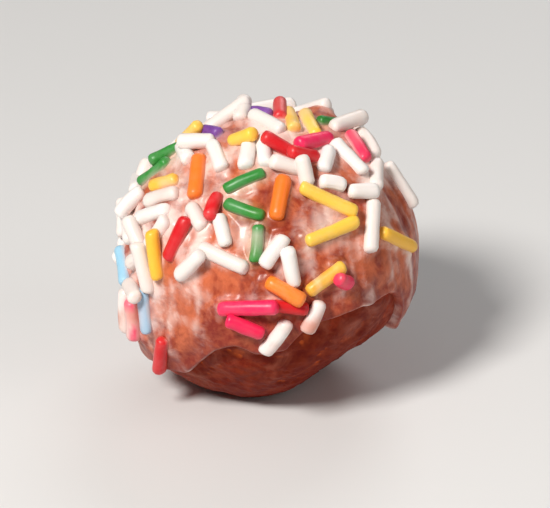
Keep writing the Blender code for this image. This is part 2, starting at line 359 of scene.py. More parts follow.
def grainGroup():  # fine grain for bumps, with pits
    group, start, end = newGroup(
        "sugarGrain",
        (
            ("Scale", "NodeSocketFloat", 900.0),
            ("Pits", "NodeSocketFloat", 0.3),
        ),
        (("Height", "NodeSocketFloat"), ("Pit", "NodeSocketFloat")),
    )
    place = addNode(group, "ShaderNodeTexCoord")
    fine = addNode(group, "ShaderNodeTexNoise", Detail=3.0, Roughness=0.55)
    cells = addNode(group, "ShaderNodeTexVoronoi", Randomness=1.0)
    for texture in (fine, cells):
        group.links.new(place.outputs["Object"], texture.inputs["Vector"])
        group.links.new(start.outputs["Scale"], texture.inputs["Scale"])
    pit = ranged(group, cells.outputs["Distance"], textures["pitEdge"], (1, 0))
    deep = doMath(group, "MULTIPLY", pit, start.outputs["Pits"])
    height = doMath(group, "SUBTRACT", fine.outputs[0], deep)
    group.links.new(height, end.inputs["Height"])
    group.links.new(pit, end.inputs["Pit"])
    return group


mottle = mottleGroup()
sugarGrain = grainGroup()


def placeGroup(tree, group, **values):
    node = tree.nodes.new("ShaderNodeGroup")
    node.node_tree = group
    setSockets(tree, [node.inputs[name] for name in values], values.values())
    return node


def startMaterial(name, **values):
    made = bpy.data.materials.new(name)
    made.use_nodes = True
    tree = made.node_tree
    shader = tree.nodes["Principled BSDF"]
    for label, value in values.items():
        shader.inputs[label].default_value = value
    return made, tree, shader


def readAttribute(tree, name):
    node = tree.nodes.new("ShaderNodeAttribute")
    node.attribute_name = name
    return node


def addBump(tree, shader, height, distance, strength):
    bump = addNode(tree, "ShaderNodeBump", Distance=distance, Strength=strength)
    tree.links.new(height, bump.inputs["Height"])
    tree.links.new(bump.outputs["Normal"], shader.inputs["Normal"])


# The sprinkles: where each one lies

rods = {
    "widths": {
        "white": 1.65 * mm, "yellow": 1.5 * mm, "green": 1.35 * mm, "orange": 1.75 * mm,
        "red": 1.5 * mm, "pink": 1.6 * mm, "blue": 1.5 * mm, "purple": 1.5 * mm,
    },
    "endDome": 0.52 * mm,
    # In widths: how high the ends of a sprinkle's middle line are above the glaze, the least that
    # the rest of it is, and how close two such lines are where one rides up on the other
    "sit": 0.32,
    "sunk": 0.17,
    "touch": 0.78,
    "mostLift": 1.3 * mm,
    "parts": 6,  # of a middle line, where two of them are compared
    "viewTilt": math.radians(view["elevation"]),
    "widestSeen": 0.97,  # share of the radius, past which a sprinkle would sit behind the outline
    "seenMiddle": (0.7, -0.7),
    # Those on the back, which are laid by chance
    "backCount": 38,
    "seed": 12,
    "lengths": (3.8 * mm, 5.8 * mm),
    "backFrom": -0.12,  # how far a place on the back faces the viewer at most, as a cosine
    "whiteFrom": -0.35,  # between this and backFrom one may show at the outline, and is white
    "sprinkledAxis": Vector((-0.34, -0.1, 0.93)).normalized(),
    "sprinkledAngle": (55, 94),  # degrees from that axis over which they thin out
    "clearOfEdge": 9,
    "crossedShare": 0.3,  # of those on the back that may lie on another
}
glazeRadius = ball["crustRadius"] + coat["height"]

# Those that show from the front, by colour. Each row: millimetres to the right and up in that
# view, the turn in degrees from level, and the length in mm. The ball's middle is at seenMiddle.
seenSprinkles = {
    "blue": ((-15.3, -1.4, -76, 4.8), (-12.4, -5.9, -80, 4.6)),
    "green": (
        (-2.2, 7.2, 22, 4.4), (-2.2, 4.3, -20, 4.3), (-0.9, 0.9, 84, 3.8),
        (-11.8, 8.5, 38, 5.2), (-10.9, 11.0, 46, 3.8), (7.4, 14.1, -12, 4.4),
    ),
    "purple": ((-5.6, 12.3, -18, 3.6), (-1.0, 14.8, -6, 3.8)),
    "white": (
        (-8.3, 10.2, -62, 4.4), (-5.0, 9.8, -68, 4.6), (-4.5, 15.4, 21, 5.2),
        (-2.8, 16.4, 50, 3.4), (0.1, 13.3, -30, 5.4), (-1.9, 10.0, 80, 3.8),
        (-0.2, 10.2, -84, 3.8), (-14.8, 2.9, -85, 5.0), (-11.6, 3.9, 17, 5.2),
        (-10.6, 5.7, 17, 4.6), (-11.0, 2.0, 57, 3.8), (-13.2, -0.7, 30, 2.8),
        (-15.2, -6.2, -80, 4.8), (-4.3, -0.6, -25, 5.4), (-7.7, -1.3, 38, 4.0),
        (0.8, 0.1, 54, 3.8), (2.5, -1.5, -77, 4.0), (10.7, 2.7, 87, 5.6),
        (6.7, 7.0, -10, 2.8), (8.4, 9.7, -48, 4.8), (11.2, 7.9, 86, 4.2),
        (9.8, 6.2, -5, 3.2), (6.1, 9.4, 74, 3.4), (2.1, 8.8, -5, 3.4),
        (3.9, 8.2, -66, 2.8), (8.2, 13.2, -6, 4.6), (10.9, 11.8, -55, 4.4),
        (14.2, 7.2, -57, 5.4), (-4.4, 2.2, -75, 3.4), (1.0, -8.6, 52, 4.4),
        (4.8, -6.5, 66, 3.6), (-13.7, -3.9, -31, 4.0), (-7.1, 11.4, 20, 3.6),
        (-14.3, 5.3, 66, 3.4), (-12.5, -1.6, -88, 5.0), (-13.3, 1.6, -80, 4.2),
        (-7.0, 3.6, -60, 3.2),
    ),
    "yellow": (
        (6.3, 5.3, -23, 6.3), (6.6, 2.1, 22, 6.0), (13.4, 1.3, -24, 6.2),
        (6.0, -2.7, 38, 4.6), (-11.3, -0.3, 87, 4.8), (-2.4, 11.7, -12, 3.2),
        (-10.4, 7.1, 19, 3.8), (-8.6, 13.0, 18, 4.4), (2.6, 13.5, -76, 5.8),
        (4.5, 13.2, -64, 5.8),
    ),
    "orange": ((-7.0, 7.7, 84, 5.4), (1.4, 5.5, 79, 4.7), (1.9, -3.9, -28, 4.2)),
    "red": (
        (-5.3, 4.7, 82, 3.1), (-9.0, 1.4, 64, 4.8), (-10.9, -10.6, -88, 4.8),
        (1.5, 10.8, -14, 3.8), (3.8, 9.9, 8, 3.4), (1.4, 14.6, -85, 4.0), (2.4, -5.5, -6, 3.8),
    ),
    "pink": (
        (4.9, 11.4, 21, 5.0), (9.4, 10.8, -58, 4.2), (-1.9, -5.6, 4, 6.0),
        (-2.1, -7.5, -28, 4.0), (7.8, -2.9, -24, 2.3), (-13.7, -6.9, -76, 4.2),
    ),
}
backShares = {
    "white": 45, "yellow": 13, "green": 9, "orange": 9, "red": 8, "pink": 8, "blue": 5,
    "purple": 3,
}

Sprinkle = collections.namedtuple("Sprinkle", "tail head colour")


def lineSpots(sprinkle):
    shares = [part / rods["parts"] for part in range(rods["parts"] + 1)]
    return [(share, sprinkle.tail.lerp(sprinkle.head, share)) for share in shares]


def crossingsOf(sprinkle, laid):  # for each sprinkle in the way, how far along it is and its lift
    found = []
    ownSpots = lineSpots(sprinkle)
    for other in laid:
        touch = rods["touch"] * (rods["widths"][sprinkle.colour] + rods["widths"][other.colour]) / 2
        middle = ownSpots[rods["parts"] // 2][1]
        if (other.tail - middle).length > 2 * rods["lengths"][1]:
            continue
        pairs = [((a - b).length, share) for share, a in ownSpots for _, b in lineSpots(other)]
        gap, share = min(pairs)
        if gap < touch:
            found.append((share, math.sqrt(touch**2 - gap**2)))
    return found


def endPlace(outward, along, reach, height):
    bend = reach / glazeRadius
    direction = (outward * math.cos(bend) + along * math.sin(bend)).normalized()
    return ball["centre"] + direction * (glazeSurface(direction) + height)


def heightAboveGlaze(spot):
    outward = spot - ball["centre"]
    return outward.length - glazeSurface(outward.normalized())


def sunkDepth(sprinkle):
    least = rods["sunk"] * rods["widths"][sprinkle.colour]
    lowest = min(heightAboveGlaze(spot) for _, spot in lineSpots(sprinkle))
    return max(least - lowest, 0)


def laySprinkle(outward, along, length, colour, laid):
    reach = (length - 2 * rods["endDome"]) / 2
    sit = rods["sit"] * rods["widths"][colour]
    flat = Sprinkle(*[endPlace(outward, along, side * reach, sit) for side in (-1, 1)], colour)
    found = crossingsOf(flat, laid)
    lifts = [sunkDepth(flat)] * 2
    if found:
        share, rise = max(found, key=lambda crossing: crossing[1])
        raised = 0 if share < 0.5 else 1
        lifts[raised] = max(lifts[raised], min(rise / max(share, 1 - share), rods["mostLift"]))
    ends = [
        endPlace(outward, along, side * reach, sit + lift) for side, lift in zip((-1, 1), lifts)
    ]
    return Sprinkle(*ends, colour), len(found)


toRight = Vector((1, 0, 0))
toTop = Vector((0, math.sin(rods["viewTilt"]), math.cos(rods["viewTilt"])))
toViewer = Vector((0, -math.cos(rods["viewTilt"]), math.sin(rods["viewTilt"])))


def seenPlace(right, up, turn, height):  # the outward direction and lie of one seen from the front
    distance = glazeRadius + height
    for _ in range(4):  # rounds, in which the distance settles
        across = Vector((right, up)) - Vector(rods["seenMiddle"])
        across *= mm / distance
        if across.length > rods["widestSeen"]:
            across *= rods["widestSeen"] / across.length
        depth = math.sqrt(1 - across.length_squared)
        outward = across.x * toRight + across.y * toTop + depth * toViewer
        distance = glazeSurface(outward) + height
    lie = Vector((math.cos(turn), math.sin(turn)))
    along = lie.x * toRight + lie.y * toTop - lie.dot(across) / depth * toViewer
    return outward, along.normalized()


def laySeenSprinkle(row, colour, laid):  # its place follows from its height
    right, up, turn, length = row
    height = rods["sit"] * rods["widths"][colour]
    for _ in range(3):  # rounds, in which the height settles
        outward, along = seenPlace(right, up, math.radians(turn), height)
        sprinkle, _ = laySprinkle(outward, along, length * mm, colour, laid)
        height = heightAboveGlaze((sprinkle.tail + sprinkle.head) / 2)
    return sprinkle


def backPlace(draw):
    outward = Vector((draw.gauss(0, 1), draw.gauss(0, 1), draw.gauss(0, 1))).normalized()
    along = outward.orthogonal().normalized()
    along = Quaternion(outward, draw.uniform(0, math.pi)) @ along
    keep = draw.random()
    offAxis = math.degrees(outward.angle(rods["sprinkledAxis"]))
    edge = glazeEdge(math.atan2(outward.y, outward.x)) - math.radians(rods["clearOfEdge"])
    if (
        outward.dot(toViewer) > rods["backFrom"]
        or downAngle(outward) > edge
        or keep < smoothStep(*rods["sprinkledAngle"], offAxis)
    ):
        return None
    return outward, along


def planSprinkles():
    draw = random.Random(rods["seed"])
    laid = []
    for colour, rows in seenSprinkles.items():
        for row in rows:
            laid.append(laySeenSprinkle(row, colour, laid))
    most = len(laid) + rods["backCount"]
    while len(laid) < most:
        place = backPlace(draw)
        length = draw.uniform(*rods["lengths"])
        colour = draw.choices(list(backShares), list(backShares.values()))[0]
        crossed = draw.random() < rods["crossedShare"]
        if place is None:
            continue
        if place[0].dot(toViewer) > rods["whiteFrom"]:
            colour = "white"
        sprinkle, crossingCount = laySprinkle(*place, length, colour, laid)
        if crossingCount <= (1 if crossed else 0):
            laid.append(sprinkle)
    return laid


sprinkles = planSprinkles()
print(len(sprinkles), "sprinkles are planned")


# Where the front differs, in rows: millimetres to the right of the ball's middle and up from it
# in the front view, the spread in mm, and by how much. First where the coat is milkier (+) or
# thinner (-), then where the crust is browner, and last where more or less of a film of glaze
# lies over the sprinkles. Some rows of each list are painted shade, and some crust rows painted
# light.
# Painted shade: the thinner patches between the sprinkles at the upper right, in the middle and low
# on the right darken the coat where shade falls; the rest are the coat's own milkiness
milkAndShadePatches = (
    (-6.5, 6.5, 5.0, -0.06),
    (-13.5, 0.5, 3.4, 0.26),
    (-13.6, -7.0, 2.8, 0.55),
    (-1.0, 14.0, 6.0, 0.18),
    (7.0, 8.0, 3.2, -0.18),
    (12.6, 2.0, 3.0, -0.08),
    (-5.0, -0.6, 2.4, 0.30),
    (1.0, 4.0, 2.8, -0.20),
    (6.2, 3.2, 2.6, 0.16),
    (-8.0, 2.0, 3.0, 0.14),
    (-8.0, -4.8, 4.6, -0.21),
    (10.5, 0.0, 4.0, 0.08),
    (4.0, -8.0, 7.0, -0.30),
    (-2.5, -9.5, 3.5, -0.20),
    (9.7, 8.1, 1.5, 0.85),
    (-9.0, 9.3, 2.2, 0.40),
    (-8.2, 4.8, 2.0, 0.25),
    (-3.2, 9.2, 1.2, -0.35),
    (4.6, 4.0, 1.6, 0.20),
    (-0.9, 5.6, 1.7, -0.34),
    (-3.0, 2.3, 1.9, 0.38),
    (-1.1, 1.6, 1.3, 0.30),
    (0.2, -3.6, 1.0, 0.45),
    (-10.6, -3.6, 1.6, 0.30),
    (-10.2, -6.0, 1.6, 0.34),
)
# Painted shade and painted light, with some real browning: these darken the crust low on the right,
# at the bottom and in the middle, and lighten it on the right flank and low on the left
brownAndPaintedLightPatches = (
    (-9.0, -6.0, 3.4, -0.26),
    (-6.5, -11.0, 3.4, 0.26),
    (-3.5, -3.5, 2.4, 0.20),
    (4.0, -9.0, 7.0, 0.45),
    (-1.5, -10.5, 4.0, 0.30),
    (12.0, -8.0, 4.5, 0.30),
    (10.0, 0.0, 5.0, -0.15),
    (0.0, 4.5, 2.5, 0.20),
)
# Painted shade: the heavier film on the two white sprinkles low on the right browns them where shade
# falls
filmAndShadePatches = (
    (-14.2, -7.2, 2.6, 2.40),
    (-11.8, -6.4, 1.6, -0.70),
    (-10.9, -10.8, 2.0, -0.85),
    (-1.5, 2.4, 1.5, 0.4),
    (4.7, -2.2, 1.9, 0.45),
    (8.0, -3.0, 1.2, -0.30),
    (-10.3, 6.6, 1.3, 0.45),
    (-9.4, 14.0, 2.6, 0.45),
    (4.2, -6.5, 1.7, 0.75),
    (1.6, -8.3, 2.2, 0.36),
    (8.8, 12.0, 1.5, 0.55),
    (5.0, 11.2, 1.6, -0.30),
    (3.0, 14.5, 2.5, 0.30),
)


patchFade = (-0.2, 0.15)  # how far a place faces the viewer, as a cosine, where they set in
browning = {  # 0 is golden, 1 is dark
    "least": 0.40,
    "clouds": 0.35,
    "cloudsPerRadius": 2.1,
    # Painted shade: the crust is made darker towards the bottom, where shade falls
    "below": 0.25,
    "shadeBelowAngles": (70, 150),  # degrees down from the top
}


def patchSum(direction, patches):
    place = direction * glazeRadius
    total = 0
    for right, up, spread, change in patches:
        off = Vector((place.dot(toRight) - right * mm, place.dot(toTop) - up * mm))
        total += change * math.exp(-((off.length / (spread * mm)) ** 2))
    return total * smoothStep(*patchFade, direction.dot(toViewer))


def brownedAndShaded(direction):  # how browned the crust is, 0 to 1, with painted shade added: darker towards the bottom and in patches
    cloud = noise.noise(direction * browning["cloudsPerRadius"] + noisePlaces["browning"])
    amount = browning["least"] + browning["clouds"] * cloud
    down = math.degrees(downAngle(direction))
    amount += browning["below"] * smoothStep(*browning["shadeBelowAngles"], down)
    return min(max(amount + patchSum(direction, brownAndPaintedLightPatches), 0), 1)


# The fried crust

crust = {
    "around": 340,
    "hiddenRows": 12,
    "bareRows": 150,
    "bareFrom": 80,  # degrees down from the top, where the fine rows start
    "reliefAngles": (76, 90),  # the same, where the fine relief sets in
    "wrinkleHeight": 0.13 * mm,
    "wrinklesPerRadius": 9,
    "wrinkleNoise": (0.8, 2.1, 3),
    "poreDepth": 0.17 * mm,
    "poresPerRadius": 15,
    "poreEdge": (0.05, 0.38),
    "tightPore": 0.35,  # how deep a pore is where the crust is tight
    "porousPerRadius": 3.1,
    "porousEdge": (-0.15, 0.25),  # noise over which the crust turns from tight to porous
    "filmReach": 34,  # degrees below the glaze to which a film of it goes
    "filmWander": 8,
    "filmWandersPerRadius": 2.3,
    "darkBrown": (0.15, 0.010, 0.004, 1),
    "midBrown": (0.37, 0.030, 0.007, 1),
    "golden": (0.60, 0.105, 0.022, 1),
    "filmed": (0.44, 0.11, 0.055, 1),
    "brownAndShadeRange": (-0.15, 0.2),
    "bakedAndShadedGain": 1.8,
    "raisedEdge": (0.2, 0.8),
    "speckles": 0.14,
    "pits": 0.16,
    "smears": 0.45,
    "roughness": (0.38, 0.55),
    "smearShine": (0.03, 0.24),
}

raising = {"level": 0.85, "wrinkle": 0.5, "pore": -0.5, "crag": -0.8}


def brownAndShadeBias(tree):  # shifts a mottle towards its second tone where the crust is browner, and where shade is painted on it
    brownAndShadeNode = readAttribute(tree, "brownedAndShaded")
    return ranged(tree, brownAndShadeNode.outputs["Fac"], (0, 1), crust["brownAndShadeRange"])


def crustMaterial():
    made, tree, shader = startMaterial(
        "friedCrust",
        **{
            "Subsurface Weight": 0.12,
            "Subsurface Radius": (1.0, 0.35, 0.15),
            "Subsurface Scale": 0.9 * mm,
            "Coat Roughness": 0.25,
            "Specular IOR Level": 0.06,
        },
    )
    relief = readAttribute(tree, "relief")
    film = readAttribute(tree, "film")
    bias = brownAndShadeBias(tree)
    broad = placeGroup(
        tree, mottle, First=crust["midBrown"], Second=crust["darkBrown"], Scale=130.0, Warp=0.8,
        Bias=bias,
    )
    speckle = placeGroup(
        tree, mottle, First=crust["golden"], Second=crust["darkBrown"], Scale=900.0, Warp=0.2,
    )
    grain = placeGroup(tree, sugarGrain, Scale=1500.0, Pits=0.3)
    # The bottoms of wrinkles and pores are golden, and what stands out is browner; where browning
    # and painted shade are high, more of it turns brown
    bakedAndShaded = doMath(tree, "MULTIPLY", bias, crust["bakedAndShadedGain"])
    raised = ranged(tree, doMath(tree, "ADD", relief.outputs["Fac"], bakedAndShaded), crust["raisedEdge"])
    fried = mixColours(tree, raised, crust["golden"], broad.outputs["Color"])
    speckled = mixColours(tree, crust["speckles"], fried, speckle.outputs["Color"])
    # Painted shade: the fine pits of the grain are darkened towards dark brown
    pit = doMath(tree, "MULTIPLY", grain.outputs["Pit"], crust["pits"])
    pitShaded = mixColours(tree, pit, speckled, crust["darkBrown"])
    smears = placeGroup(
        tree, mottle, First=(0, 0, 0, 1), Second=(1, 1, 1, 1), Scale=240.0, Warp=1.2, Bias=-0.05,
    )
    smeared = doMath(tree, "MULTIPLY", film.outputs["Fac"], smears.outputs["Mask"])
    smear = doMath(tree, "MULTIPLY", smeared, crust["smears"])
    colour = mixColours(tree, smear, pitShaded, crust["filmed"])
    roughness = ranged(tree, broad.outputs["Mask"], (0, 1), crust["roughness"])
    shine = ranged(tree, smeared, (0, 1), crust["smearShine"])
    tree.links.new(colour, shader.inputs["Base Color"])
    tree.links.new(roughness, shader.inputs["Roughness"])
    tree.links.new(shine, shader.inputs["Coat Weight"])
    addBump(tree, shader, grain.outputs["Height"], distance=0.12 * mm, strength=0.55)
    return made


def crustRelief(direction):  # height of the fine relief, and how raised the place is, 0 to 1
    bare = smoothStep(*crust["reliefAngles"], math.degrees(downAngle(direction)))
    wrinkle = noise.fractal(direction * crust["wrinklesPerRadius"], *crust["wrinkleNoise"])
    nearest = noise.voronoi(direction * crust["poresPerRadius"])[0][0]
    cloud = noise.noise(direction * crust["porousPerRadius"] + noisePlaces["pores"])
    porous = smoothStep(*crust["porousEdge"], cloud)
    tight = crust["tightPore"]
    pore = (1 - smoothStep(*crust["poreEdge"], nearest)) * (tight + (1 - tight) * porous)
    height = crust["wrinkleHeight"] * wrinkle - crust["poreDepth"] * pore
    crag = cragDepth(direction) / ball["cragDepth"]
    raised = raising["level"] + raising["wrinkle"] * wrinkle
    raised += raising["pore"] * pore + raising["crag"] * crag
    return bare * height, raised


def makeCrust():
    bareFrom = math.radians(crust["bareFrom"])
    downs = [bareFrom * row / crust["hiddenRows"] for row in range(crust["hiddenRows"])]
    step = (math.pi - bareFrom) / crust["bareRows"]
    downs += [bareFrom + step * row for row in range(crust["bareRows"] + 1)]
    bm = turnedShape([(down, 1) for down in downs], crust["around"])
    reliefs = []
    films = []
    brownsAndShade = []
    for spot in bm.verts:
        direction = spot.co.normalized()
        height, raised = crustRelief(direction)
        spot.co = ball["centre"] + direction * (crustForm(direction) - cragDepth(direction) + height)
        spot.co.z = max(spot.co.z, 0)
        edge = raggedEdge(math.atan2(direction.y, direction.x))
        below = math.degrees(downAngle(direction) - edge)
        reliefs.append(raised)
        brownsAndShade.append(brownedAndShaded(direction))
        wander = crust["filmWander"] * noise.noise(direction * crust["filmWandersPerRadius"])
        films.append(1 - smoothStep(0, crust["filmReach"], below + wander))
    piece = finishedPiece("friedCrust", bm, crustMaterial(), "crust", "dough")
    storeValues(piece, "relief", reliefs)
    storeValues(piece, "film", films)
    storeValues(piece, "brownedAndShaded", brownsAndShade)


makeCrust()
print("the crust is made")


# The milky glaze

glaze = {
    "around": 420,
    "outerRows": 150,
    "innerRows": 24,
    "crowding": 0.6,  # how much closer the rows are at the edge, where the lip is round
    "lip": 0.55 * mm,  # over this far from its edge the coat rounds down to the crust
    "thinning": 0.32 * mm,
    "thinningReach": 4.5 * mm,
    "sunk": 0.65 * mm,  # the inside of the coat, below the crust's form
    "bead": 0.14 * mm,  # how much thicker it is near its edge, at this distance from it
    "beadAt": 0.7 * mm,
    "pebbleHeight": 0.11 * mm,
    "pebblesPerRadius": 8,
    "pebbleNoise": (0.9, 2.0, 2),
    "streakHeight": 0.17 * mm,
    "streaksPerRadius": 7.5,
    "streakNoise": (0.7, 2.3, 2),
    "streakWander": 0.10,
    "streakWandersPerRadius": 2.2,
    "streakStretch": 0.16,  # how fast the streaks change down the ball, against around it
    "steepEdge": (0.55, 0.95),
    "collarHeight": 0.34 * mm,  # how the coat climbs round a sprinkle
    "collarWidth": 0.48 * mm,
    "collarClear": 0.8 * mm,  # over this far from the coat's edge the collars fade
    "bled": 0.08,  # how much of a sprinkle's colour is in the glaze round it, out to this far
    "bleedWidth": 0.5 * mm,
    "bleedBrightness": 0.85,
    "milky": (0.88, 0.69, 0.63, 1),
    "thin": (0.60, 0.145, 0.060, 1),
    "thinDark": (0.24, 0.020, 0.009, 1),
    "speckles": 0.30,
    "wisps": 0.26,
    "milkEdge": (0.05, 0.95),
    "roughness": (0.36, 0.50),
}
milkiness = {  # how white the coat is, from 0 for thin to 1 for milky
    "least": 0.14,
    "clouds": 0.36,
    "cloudsPerRadius": 2.6,
    "wisps": 0.30,
    "wispsPerRadius": 6.2,
    "top": 0.20,
    "topAngles": (10, 95),
    "streaks": 0.50,
    # Partly the milky bead along the coat's edge, partly a painted highlight where the edges of the
    # runs catch the light
    "rim": 0.34,
    "rimWidth": 0.45 * mm,
    "byRim": -0.08,  # just inside the rim, where the coat has run thin
    "byRimReach": 3 * mm,
    "collars": 0.12,
}
bleedColours = {
    "yellow": (0.90, 0.55, 0.10), "green": (0.15, 0.45, 0.12), "orange": (0.92, 0.30, 0.05),
    "red": (0.75, 0.04, 0.04), "pink": (0.85, 0.06, 0.22), "blue": (0.35, 0.60, 0.80),
    "purple": (0.35, 0.12, 0.50),
}


def glazeMaterial():
    made, tree, shader = startMaterial(
        "milkyGlaze",
        **{
            "Subsurface Weight": 0.15,
            "Subsurface Radius": (1.0, 0.55, 0.40),
            "Subsurface Scale": 0.8 * mm,
            "Coat Weight": 0.22,
            "Coat Roughness": 0.20,
            "Specular IOR Level": 0.2,
        },
    )
    milkAndPaintedLight = readAttribute(tree, "milkAndPaintedLight")
    bleed = readAttribute(tree, "bleed")
    bled = readAttribute(tree, "bled")
    # The crust seen through the coat is darker by the same browning and painted shade
    crustBelow = placeGroup(
        tree, mottle, First=glaze["thin"], Second=glaze["thinDark"], Scale=380.0, Warp=0.5,
        Bias=brownAndShadeBias(tree),
    )
    speckle = placeGroup(
        tree, mottle, First=glaze["thin"], Second=glaze["thinDark"], Scale=1250.0, Warp=0.2,
    )
    speckled = mixColours(
        tree, glaze["speckles"], crustBelow.outputs["Color"], speckle.outputs["Color"]
    )
    wisps = placeGroup(
        tree, mottle, First=(0, 0, 0, 1), Second=(1, 1, 1, 1), Scale=560.0, Warp=0.4,
    )
    grain = placeGroup(tree, sugarGrain, Scale=1100.0, Pits=0.15)
    aroundZero = doMath(tree, "SUBTRACT", wisps.outputs["Mask"], 0.5)
    wispy = doMath(tree, "MULTIPLY", aroundZero, glaze["wisps"])
    amount = ranged(tree, doMath(tree, "ADD", milkAndPaintedLight.outputs["Fac"], wispy), glaze["milkEdge"])
    colour = mixColours(tree, amount, speckled, glaze["milky"])
    stained = mixColours(tree, bled.outputs["Fac"], colour, bleed.outputs["Color"])
    roughness = ranged(tree, wisps.outputs["Mask"], (0, 1), glaze["roughness"])
    tree.links.new(stained, shader.inputs["Base Color"])
    tree.links.new(roughness, shader.inputs["Roughness"])
    addBump(tree, shader, grain.outputs["Height"], distance=0.07 * mm, strength=0.5)
    return made


def streakAt(direction):  # how the glaze ran down the steep sides, about -0.5 to 0.5
    compass = math.atan2(direction.y, direction.x)
    wander = noise.noise(direction * glaze["streakWandersPerRadius"] + noisePlaces["streaks"])
    compass += glaze["streakWander"] * wander
    around = Vector((math.cos(compass), math.sin(compass), glaze["streakStretch"] * direction.z))
    steep = smoothStep(*glaze["steepEdge"], math.sin(downAngle(direction)))
    return steep * noise.fractal(around * glaze["streaksPerRadius"], *glaze["streakNoise"])


def glazeHeight(direction, below):  # the coat's surface above the crust, below: distance to its edge
    height = coat["height"]
    height -= glaze["thinning"] * (1 - smoothStep(0, glaze["thinningReach"], below))
    height += glaze["bead"] * math.exp(-(((below - glaze["beadAt"]) / glaze["beadAt"]) ** 2))
    place = direction * glaze["pebblesPerRadius"] + noisePlaces["pebbles"]
    pebbles = noise.fractal(place, *glaze["pebbleNoise"])
    height += glaze["pebbleHeight"] * pebbles + glaze["streakHeight"] * streakAt(direction)
    share = min(max(below / glaze["lip"], 0), 1)
    return height * math.sqrt(1 - (1 - share) ** 2)


# How milky the coat is, with the painted shade of its patches and the painted highlight of its rim
def milkAndPaintedLightAt(direction, below):
    cloud = noise.noise(direction * milkiness["cloudsPerRadius"] + noisePlaces["clouds"])
    wisp = noise.noise(direction * milkiness["wispsPerRadius"] + noisePlaces["wisps"])
    amount = milkiness["least"] + milkiness["clouds"] * cloud + milkiness["wisps"] * wisp
    down = math.degrees(downAngle(direction))
    amount += milkiness["top"] * (1 - smoothStep(*milkiness["topAngles"], down))
    amount += milkiness["streaks"] * streakAt(direction)
    amount += milkiness["rim"] * math.exp(-((below / milkiness["rimWidth"]) ** 2))
    amount += milkiness["byRim"] * (1 - smoothStep(0, milkiness["byRimReach"], below))
    return amount + patchSum(direction, milkAndShadePatches)


def gapsToSprinkles(places):  # each place's distance to each sprinkle's middle line, one at a time
    for sprinkle in sprinkles:
        tail = np.array(sprinkle.tail)
        line = np.array(sprinkle.head) - tail
        share = np.clip((places - tail) @ line / (line @ line), 0, 1)
        gap = np.linalg.norm(places - tail - share[:, None] * line, axis=1)
        yield sprinkle, gap - rods["widths"][sprinkle.colour] / 2


# The coat starts as a turned shape whose angle down is the share of the way to the coat's edge.
# Its distance from the middle only tells the outside from the rim and the inside.
outside, rim, inside = 2, 1.5, 1
rimAngle = 1.004


def coatOutline():
    shares = [row / glaze["outerRows"] for row in range(glaze["outerRows"])]
    crowding = glaze["crowding"]
    outline = [(share * (1 + crowding - crowding * share), outside) for share in shares]
    outline += [(1, outside), (rimAngle, rim)]
    rows = range(glaze["innerRows"] + 1)
    return outline + [(1 - row / glaze["innerRows"], inside) for row in rows]


def makeGlaze():
    bm = turnedShape(coatOutline(), glaze["around"])
    places = []
    outwards = []
    climbs = []
    milksAndPaintedLight = []
    brownsAndShade = []
    for spot in bm.verts:
        share = min(downAngle(spot.co.normalized()), 1)
        compass = math.atan2(spot.co.y, spot.co.x)
        edge = raggedEdge(compass)
        direction = directionAt(compass, share * edge)
        below = (1 - share) * edge * glazeRadius
        height = -glaze["sunk"]
        climb = 0
        if spot.co.length > (outside + rim) / 2:
            height = glazeHeight(direction, below)
            climb = glaze["collarHeight"] * smoothStep(0, glaze["collarClear"], below)
        places.append(ball["centre"] + direction * (crustForm(direction) + height))
        outwards.append(direction)
        climbs.append(climb)
        milksAndPaintedLight.append(milkAndPaintedLightAt(direction, below))
        brownsAndShade.append(brownedAndShaded(direction))
    places = np.array(places)
    collar = np.zeros(len(places))
    stain = np.zeros(len(places))
    stains = np.zeros((len(places), 3))
    for sprinkle, gap in gapsToSprinkles(places):
        beyond = np.maximum(gap, 0)
        collar = np.maximum(collar, np.exp(-((beyond / glaze["collarWidth"]) ** 2)))
        if sprinkle.colour in bleedColours:
            weight = np.exp(-((beyond / glaze["bleedWidth"]) ** 2))
            stain = np.maximum(stain, weight)
            stains += weight[:, None] * np.array(bleedColours[sprinkle.colour])
    brightest = np.maximum(stains.max(axis=1), 1e-6)
    stains *= (glaze["bleedBrightness"] / brightest)[:, None]
    places += np.array(outwards) * (np.array(climbs) * collar)[:, None]
    for spot, place in zip(bm.verts, places):
        spot.co = place
    piece = finishedPiece("milkyGlaze", bm, glazeMaterial(), "glaze", "glaze")
    storeValues(piece, "milkAndPaintedLight", np.array(milksAndPaintedLight) + milkiness["collars"] * collar)
    storeValues(piece, "brownedAndShaded", brownsAndShade)
    storeValues(piece, "bled", glaze["bled"] * stain)
    storeColours(piece, "bleed", stains)


makeGlaze()
print("the glaze is made")


# The sprinkles: one piece for each colour

rodShape = {
    "segments": 12,
    "rings": 8,
    "cuts": 3,
    "bluntness": 3.2,  # 2 is a round end, and more is a squarer one
    "endSquash": 0.92,
    "seed": 5,
    "bend": 0.16 * mm,
    "bendMiddle": 0.4,  # share of the bend by which the middle goes the other way
    "taper": 0.06,
    "slant": 0.22,
    "slantFrom": 0.5,  # share of the way to an end, from where the end slants
    "flatness": (0.93, 1),
    "ripple": 0.05 * mm,
    "ripplesPerMetre": 900,
    "rippleShift": 5000,  # per metre between two sprinkles, so that their ripples differ
    "shadeFallOff": 1.5,  # above 1, fewer have the deeper colour
    "paler": 0.05,
}
sprinkleFilm = {  # the glaze that lies on the sprinkles
    "above": 0.1 * mm,  # up to this height above the coat it is whole
    "fade": 0.6 * mm,  # and over this much more it ends
    "least": 0.3,
    "byMilk": 0.45,
    "most": 0.85,
    "unevenEdge": (-0.45, 0.25),
    "unevenPerMetre": 500,
    "milkEdge": (-0.05, 0.3),
    "farFromEdge": 1,  # metres, where the coat's edge no longer counts
}
